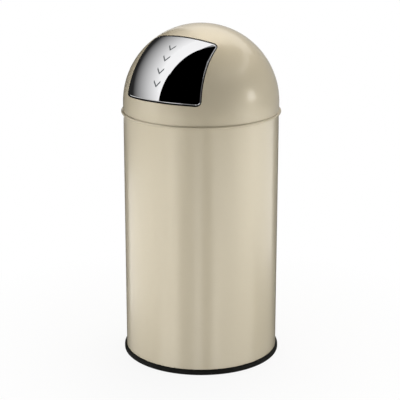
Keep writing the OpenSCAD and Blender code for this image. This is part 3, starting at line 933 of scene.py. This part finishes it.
class PUSHBIN_OT_hinge(Operator):
    """Model the hinge rod, its caps and bushes, and finish the brackets"""
    bl_idname = "push_bin.hinge"
    bl_label = "Hinge"
    bl_options = {"REGISTER", "UNDO"}

    def execute(self, context):
        hinge = context.scene.push_bin.hinge
        axis = hinge.axis_point
        bm = bmesh.new()
        end, r = hinge.rod_end, hinge.rod_r
        pen = Pen(bm, (-end, 0), hinge_section).to((-end, r), (end, r), soft=0.5 * MM)
        pen.to((end, 0)).soften()
        turn_round(bm, HINGE_STEPS, X, axis)
        set_down(bm, "rod", "lid", "zinc_plate", ["hinge_rod"])

        bore, stop, tip = r + PLAY, end + PLAY, end + MM
        bm = bmesh.new()
        pen = Pen(bm, (hinge.cap_x, bore), hinge_section)
        pen.to((hinge.cap_x, hinge.cap_r), soft=0.3 * MM).to((tip, hinge.cap_r), soft=1.6 * MM)
        pen.to((tip, 0), (stop, 0), (stop, bore)).close().soften()
        turn_round(bm, HINGE_STEPS, X, axis)
        mirror_right_to_left(bm)
        set_down(bm, "rod_end_caps", "lid", "zinc_plate", ["rod_caps"])

        bm = bmesh.new()
        face, back = hinge.bush_face, hinge.bush_face - hinge.bush_l
        pen = Pen(bm, (back, bore), hinge_section).to((back, hinge.bush_r), soft=0.4 * MM)
        pen.to((face, hinge.bush_r)).to((face, hinge.bush_flange_r), soft=0.2 * MM)
        pen.to((face + MM, hinge.bush_flange_r), soft=0.3 * MM).to((face + MM, bore)).close().soften()
        turn_round(bm, HINGE_STEPS, X, axis)
        mirror_right_to_left(bm)
        set_down(bm, "bushes", "flap", "white_nylon", ["arm_bushes"])
        dress("zinc_plate", "hinge_bracket_left", "hinge_bracket_right")
        return {"FINISHED"}


class PUSHBIN_OT_springs(Operator):
    """Wind the two torsion springs on the hinge rod"""
    bl_idname = "push_bin.springs"
    bl_label = "Springs"
    bl_options = {"REGISTER", "UNDO"}

    def execute(self, context):
        sizes = context.scene.push_bin
        for side, hand in ((1, "right"), (-1, "left")):
            self.wind(sizes, side, hand + "_spring", "spring_" + hand)
        return {"FINISHED"}

    def wind(self, sizes, side, name, node):
        hinge = sizes.hinge
        bm = bmesh.new()
        start = hinge.dome_leg
        sweep, turn_steps = hinge.flap_leg + math.tau * hinge.turns - start, 24
        steps = round(sweep / math.tau * turn_steps)
        out = Vector((0, math.cos(start), math.sin(start)))
        centre = hinge.axis_point + hinge.coil_x * X + hinge.coil_r * out
        ring = Matrix.Translation(centre) @ Matrix((X, out, X.cross(out))).transposed().to_4x4()
        section = wire_section(bm, 14, hinge.wire_r, ring)
        last = spin_open(bm, section, hinge.axis_point, X, sweep, steps,
                         hinge.pitch * sweep / math.tau / steps * X)
        for end, turn, sense in ((section, start, -1), (last, hinge.flap_leg, 1)):
            edges = edges_in(end)
            along = sense * Vector((0, -math.sin(turn), math.cos(turn)))
            root = sum((v.co for v in ends_of(edges)), Vector()) / len(edges)
            q = root - sizes.lid.centre
            b = q.dot(along)
            reach = -b + math.sqrt(b * b - q.length_squared + hinge.leg_r ** 2)
            extrude_line(bm, edges, reach * along)
        close_ends(bm)
        if side < 0:
            bmesh.ops.scale(bm, vec=(-1, 1, 1), verts=bm.verts[:])
            bmesh.ops.recalc_face_normals(bm, faces=bm.faces[:])
        piece = set_down(bm, name, None, "spring_wire")
        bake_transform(piece)
        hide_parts(node)


class PUSHBIN_OT_liner(Operator):
    """Model the lift-out liner with its rolled rim, ribs, base and rivets"""
    bl_idname = "push_bin.liner"
    bl_label = "Liner"
    bl_options = {"REGISTER", "UNDO"}

    def execute(self, context):
        liner = context.scene.push_bin.liner
        t, half = liner.sheet, liner.rib_h / 2
        bead_centre = Vector((liner.radius - t + liner.bead, liner.top - liner.bead))
        ribs = [[(liner.radius_at(z - half), z - half), (liner.radius_at(z) + 1.6 * liner.rib_out, z),
                 (liner.radius_at(z + half), z + half)] for z in (liner.rib_low, liner.rib_high)]
        wall = ribs[0] + ribs[1]
        bm = bmesh.new()
        pen = Pen(bm, (liner.foot_r - t, liner.foot))
        pen.to(*[(r - t, z) for r, z in wall], soft=2.6 * MM)
        roll_rim(pen, bead_centre, liner.bead, t, 32, 24)
        pen.to(*reversed(wall), soft=2.6 * MM).to((liner.foot_r, liner.foot)).close().soften(6)
        turn_round(bm, LINER_STEPS)
        set_down(bm, "liner_sheet", "liner", "galvanised_sheet", ["liner_wall"])

        r, floor = liner.foot_r - t - FIT, liner.foot + liner.recess
        bm = bmesh.new()
        pen = Pen(bm, (0, floor)).to((r - t, floor), soft=MM).to((r - t, liner.foot), (r, liner.foot))
        pen.to((r, floor + t), soft=1.5 * MM).to((0, floor + t)).soften()
        turn_round(bm, PLATE_STEPS)
        set_down(bm, "liner_floor", "liner", "galvanised_sheet", ["liner_base"])

        head, shank, head_t, ear_face = liner.rivet_head, liner.rivet_r, 1.5 * MM, 1.65 * MM
        outer = liner.radius + ear_face
        wall_r = liner.radius_at(liner.rivet_z) - t
        inner = math.sqrt(wall_r ** 2 - (liner.rivet_y + head) ** 2) - PLAY
        bm = bmesh.new()
        pen = Pen(bm, (inner - head_t, 0)).to((inner - head_t, head), soft=1.3 * MM)
        pen.to((inner, head), (inner, shank), (outer, shank), (outer, head))
        pen.to((outer + head_t, head), soft=1.3 * MM).to((outer + head_t, 0)).soften()
        turn_round(bm, RIVET_STEPS, X)
        bmesh.ops.translate(bm, verts=bm.verts[:], vec=(0, -liner.rivet_y, liner.rivet_z))
        second = bmesh.ops.duplicate(bm, geom=bm.verts[:] + bm.edges[:] + bm.faces[:])["geom"]
        bmesh.ops.translate(bm, verts=verts_in(second), vec=(0, 2 * liner.rivet_y, 0))
        mirror_right_to_left(bm)
        set_down(bm, "rivets", "liner", "zinc_plate", ["ear_rivets"])
        dress("galvanised_sheet", "bail_ear_left", "bail_ear_right")
        return {"FINISHED"}


class PUSHBIN_OT_bail(Operator):
    """Bend the liner's bail and mould its grip"""
    bl_idname = "push_bin.bail"
    bl_label = "Bail"
    bl_options = {"REGISTER", "UNDO"}

    def execute(self, context):
        liner = context.scene.push_bin.liner
        hub = Vector((0, liner.bail_bend, liner.bail_z))
        side = Matrix.Translation(hub + liner.bail_r * X) @ Matrix.Rotation(math.pi / 2, 4, "X")
        quarter, arc_steps, bend_steps = math.pi / 2, 60, 12
        bm = bmesh.new()
        section = wire_section(bm, 20, liner.bail_wire, side)
        spin_open(bm, section, hub, Z, quarter, arc_steps)
        pin = hub + (liner.bail_r + liner.bail_bend) * X
        end = edges_in(spin_open(bm, section, pin, Z, quarter, bend_steps))
        end = extrude_line(bm, end, (liner.head_x - pin.x) * X)
        flare = extrude_line(bm, end)
        grow = liner.head_r / liner.bail_wire
        bmesh.ops.scale(bm, vec=(1, grow, grow), verts=ends_of(flare),
                        space=Matrix.Translation((0, 0, -liner.bail_z)))
        cap = extrude_line(bm, flare, 1.5 * MM * X)
        bmesh.ops.contextual_create(bm, geom=cap)
        round_edges(bm, cap, 0.5 * MM, 3)
        mirror_right_to_left(bm)
        set_down(bm, "bail_rod", "bail", "zinc_plate", ["bail_wire"])

        rings, ring_gap = 72, 6
        end_shares, groove_share = {0: 0.72, 1: 0.92}, 0.93
        turn = liner.grip_l / liner.bail_r
        start = (math.pi - turn) / 2
        bm = bmesh.new()
        section = wire_section(bm, 28, liner.grip_r, side)
        bmesh.ops.rotate(bm, cent=hub, matrix=Matrix.Rotation(start, 3, "Z"), verts=verts_in(section))
        spin_open(bm, section, hub, Z, turn, rings)
        for v in bm.verts:
            way = math.atan2(v.co.y - hub.y, v.co.x - hub.x)
            ring = round((way - start) / turn * rings)
            core = hub + liner.bail_r * Vector((math.cos(way), math.sin(way), 0))
            share = end_shares.get(min(ring, rings - ring), 1.0 if ring % ring_gap else groove_share)
            v.co = core + (v.co - core) * share
        close_ends(bm)
        set_down(bm, "bail_handle", "bail", "grip_plastic", ["bail_grip"], crease=50)
        return {"FINISHED"}


# Lamps: name, azimuth, distance, height, width, depth and tint
LAMPS = (
    ("left", -62, 1.4, 0.32, 0.8, 0.5, (1, 1, 1)),
    ("right", 102, 1.4, 0.32, 0.8, 0.5, (1, 1, 1)),
    ("front", -13, 1.7, 0.2, 1.2, 0.5, (1, 1, 1)),
    ("top", -165, 0.8, 2.7, 1.4, 1.4, (1.0, 0.93, 0.82)),
)
# Upright cards: name, first and last azimuth, distance, lower and upper edge, and the light level
# at the first and the last azimuth
CARDS = (
    ("low_card", 2, 24, 2.2, -1.6, -0.2, 0.35, 0.35),
    ("low_card_right", 36, 50, 2.2, -1.6, -0.2, 0.2, 0.2),
    ("front_card", -28, 52, 2.2, -0.2, 2.5, 0, 0),
    ("right_card", 52, 108, 2.25, -0.2, 2.45, 0, 0.2),
    ("right_card_far", 108, 164, 2.25, 0, 2.2, 0.2, 0.2),
    ("back_card", 166, 258, 2.3, -1.6, -0.02, 0.05, 0.05),
    ("rim_card", 164, 223, 2.3, -0.02, 1.8, 0.15, 0.5),
    ("side_card", 118, 166, 2.3, -1.6, -0.6, 0.15, 0.15),
    ("skirt_card", -102, -28, 2.3, -0.26, 0.04, 0.2, 0.2),
    ("ground_card_left", -102, -28, 2.3, -1.6, -0.78, 0.25, 0.25),
    ("ground_card_right", 62, 118, 2.3, -1.6, -0.62, 0.65, 0.65),
    ("highlight_card", 105, 117, 2.2, 0.72, 1.12, 3, 3),
)
# Level cards: name, first and last azimuth, reach, height and light level
LEVEL_CARDS = (
    ("ceiling_card", -27, 60, 2.2, 2.5, 0),
    ("ceiling_card_right", 60, 155, 0.85, 2.5, 0),
    ("ceiling_veil", 60, 165, 2.25, 2.55, 0.25),
    ("ground_card", 0, 360, 2.3, -1.6, 0.08),
)


def around(azimuth, distance, height=0.0):
    """A place in the studio, with its azimuth in degrees from the front towards the right"""
    turn = math.radians(azimuth)
    return Vector((math.sin(turn) * distance, -math.cos(turn) * distance, height))


class PUSHBIN_OT_stage(Operator):
    """Set up the studio: floor, lamps, cards for the reflections and camera"""
    bl_idname = "push_bin.stage"
    bl_label = "Studio"
    bl_options = {"REGISTER", "UNDO"}

    def execute(self, context):
        stage = context.scene.push_bin.stage
        self.lay_floor(stage)
        self.light_room(context.scene, stage)
        for name, azimuth, distance, height, *looks in LAMPS:
            self.hang_lamp(name, around(azimuth, distance, height), stage, *looks)
        for name, *card in CARDS:
            self.hang_card(name, *card)
        for name, *card in LEVEL_CARDS:
            self.hang_level_card(name, *card)
        self.hang_shade()
        self.set_camera(context.scene, stage)
        context.scene.view_settings.view_transform = "Standard"
        return {"FINISHED"}

    def lay_floor(self, stage):
        bm = bmesh.new()
        bmesh.ops.create_circle(bm, cap_ends=True, segments=96, radius=9)
        floor = finished(bm, "studio_floor", self.floor_paper(stage))
        floor.visible_glossy = False

    def floor_paper(self, stage):
        """Pale paper that turns to the white of the background away from the bin"""
        near, far, near_white = 0.18, 0.7, 0.9
        finish = Finish("floor_paper", {"Roughness": 0.9})
        finish.mottle(finish.cloud(0, 1, 30, 3), stage.floor_colour, 0.99)
        paper, white = finish.shader.outputs[0], finish.add("ShaderNodeEmission").outputs[0]
        distance = finish.add("ShaderNodeVectorMath", operation="LENGTH")
        finish.link(finish.place, distance.inputs[0])
        whiteness = finish.span(distance.outputs["Value"], near_white, 1, near, far)
        faded = finish.choose(whiteness, paper, white)
        seen = finish.add("ShaderNodeLightPath").outputs["Is Camera Ray"]
        finish.link(finish.choose(seen, paper, faded),
                    finish.tree.nodes["Material Output"].inputs["Surface"])
        return finish.material

    def light_room(self, scene, stage):
        """Even light on the bin, and plain white where the camera or a reflection meets the room"""
        world = bpy.data.worlds.new("studio_room")
        scene.world = world
        world.use_nodes = True
        world.node_tree.nodes.clear()
        room = Nodes(world.node_tree)
        fill, white = (room.add("ShaderNodeBackground") for _ in range(2))
        for light, strength in ((fill, stage.fill), (white, 1)):
            light.inputs["Color"].default_value = (1, 1, 1, 1)
            light.inputs["Strength"].default_value = strength
        path = room.add("ShaderNodeLightPath")
        seen = path.outputs["Is Camera Ray"]
        for ray in ("Is Glossy Ray", "Is Transmission Ray"):
            either = room.add("ShaderNodeMath", operation="MAXIMUM")
            room.link(seen, either.inputs[0])
            room.link(path.outputs[ray], either.inputs[1])
            seen = either.outputs[0]
        room.link(room.choose(seen, fill.outputs[0], white.outputs[0]),
                  room.add("ShaderNodeOutputWorld").inputs["Surface"])

    def hang_lamp(self, name, place, stage, width, depth, tint):
        aim = Vector((0, 0, 0.4))
        light = bpy.data.lights.new(name + "_lamp", "AREA")
        light.color = tint
        light.shape = "RECTANGLE"
        light.size, light.size_y = width, depth
        light.energy = getattr(stage, name + "_power")
        lamp = put_in_scene(name + "_lamp", light)
        lamp.location = place
        lamp.rotation_euler = (aim - place).to_track_quat("-Z", "Y").to_euler()
        lamp.visible_glossy = False

    def card_in_place(self, bm, name, level):
        """Hangs a card that shows only in reflections, with its light level at each of its points"""
        light = bm.verts.layers.float.new("level")
        for v in bm.verts:
            v[light] = level(v.co)
        card = finished(bm, name, self.card_light())
        for ray in ("camera", "diffuse", "shadow", "transmission", "volume_scatter"):
            setattr(card, "visible_" + ray, False)

    def card_light(self):
        """A glow as strong as the light level that the card's mesh gives at each point"""
        material = bpy.data.materials.get("card_light")
        if not material:
            material = bpy.data.materials.new("card_light")
            material.use_nodes = True
            light = Nodes(material.node_tree)
            glow = light.add("ShaderNodeEmission")
            level = light.add("ShaderNodeAttribute", attribute_name="level")
            light.link(level.outputs["Fac"], glow.inputs["Strength"])
            light.link(glow.outputs[0], light.tree.nodes["Material Output"].inputs["Surface"])
        return material

    def spin_card(self, edge_ends, degrees):
        """Spins a card's first edge about the studio's middle"""
        bm = bmesh.new()
        verts = [bm.verts.new(place) for place in edge_ends]
        spin_open(bm, [*verts, bm.edges.new(verts)], ORIGIN, Z, math.radians(degrees), 32)
        bmesh.ops.remove_doubles(bm, verts=bm.verts[:], dist=MERGE)
        return bm

    def hang_card(self, name, start, end, distance, low, high, level, end_level):
        """An upright curved card, whose light level may change from its start to its end"""
        step = (end_level - level) / math.radians(end - start)
        from_start = around(start, 1)
        bm = self.spin_card([around(start, distance, z) for z in (low, high)], end - start)
        self.card_in_place(bm, name, lambda place: level + step * from_start.angle(
            Vector((place.x, place.y, 0))))

    def hang_level_card(self, name, start, end, reach, height, level):
        bm = self.spin_card([height * Z, around(start, reach, height)], end - start)
        self.card_in_place(bm, name, lambda place: level)

    def hang_shade(self):
        """A large shade behind the bin's left, dark in its middle and white at its edge"""
        middle, radius, foot = Vector((0, 0, 0.62)), 2.4, -0.15
        dip, darkest_level = math.radians(25), 0.02
        dark_until, white_from = 44, 99
        first, last = -137, 0
        darkest = around(-122.5, math.cos(dip), -math.sin(dip))

        def off(place):
            return math.degrees(darkest.angle(place - middle))

        def level(place):
            return min(1, max(darkest_level, (off(place) - dark_until) / (white_from - dark_until)))

        bm = bmesh.new()
        bmesh.ops.create_uvsphere(bm, u_segments=96, v_segments=48, radius=radius,
                                  matrix=Matrix.Translation(middle))
        outside = [v for v in bm.verts if off(v.co) > white_from or v.co.z < foot
                   or not first < math.degrees(math.atan2(v.co.x, -v.co.y)) < last]
        bmesh.ops.delete(bm, geom=outside, context="VERTS")
        self.card_in_place(bm, "left_shade", level)

    def set_camera(self, scene, stage):
        camera = bpy.data.cameras.new("studio_camera")
        camera.sensor_width = 36
        camera.lens = stage.lens
        camera.clip_end = 50
        seat = put_in_scene("studio_camera", camera)
        seat.location = stage.camera_at
        seat.rotation_euler = (stage.camera_pitch, 0, stage.camera_turn)
        scene.camera = seat


PIECES = (PUSHBIN_OT_can, PUSHBIN_OT_base, PUSHBIN_OT_dome, PUSHBIN_OT_flap, PUSHBIN_OT_hinge,
          PUSHBIN_OT_springs, PUSHBIN_OT_liner, PUSHBIN_OT_bail, PUSHBIN_OT_stage)
SETTINGS = (CanSizes, LidSizes, MouthSizes, FlapSizes, HingeSizes, LinerSizes, FinishColours,
            StageSettings, PushBin)


class PUSHBIN_PT_pieces(Panel):
    """Lists the push bin's pieces and the studio"""
    bl_idname = "PUSHBIN_PT_pieces"
    bl_label = "Push bin"
    bl_space_type = "VIEW_3D"
    bl_region_type = "UI"
    bl_category = "Push bin"

    def draw(self, context):
        for operator in PIECES:
            self.layout.operator(operator.bl_idname)
        settings = context.scene.push_bin
        for group in ("can", "lid", "mouth", "flap", "hinge", "liner", "colours", "stage"):
            box = self.layout.box()
            box.label(text=group.capitalize())
            values = getattr(settings, group)
            for name in values.bl_rna.properties.keys():
                if name not in ("rna_type", "name"):
                    box.prop(values, name)


def register():
    for kind in (*SETTINGS, *PIECES, PUSHBIN_PT_pieces):
        bpy.utils.register_class(kind)
    bpy.types.Scene.push_bin = PointerProperty(type=PushBin)


def unregister():
    del bpy.types.Scene.push_bin
    for kind in (PUSHBIN_PT_pieces, *reversed(PIECES), *reversed(SETTINGS)):
        bpy.utils.unregister_class(kind)


def main():
    register()
    for operator in PIECES:
        group, name = operator.bl_idname.split(".")
        getattr(getattr(bpy.ops, group), name)()


if __name__ == "__main__":
    main()
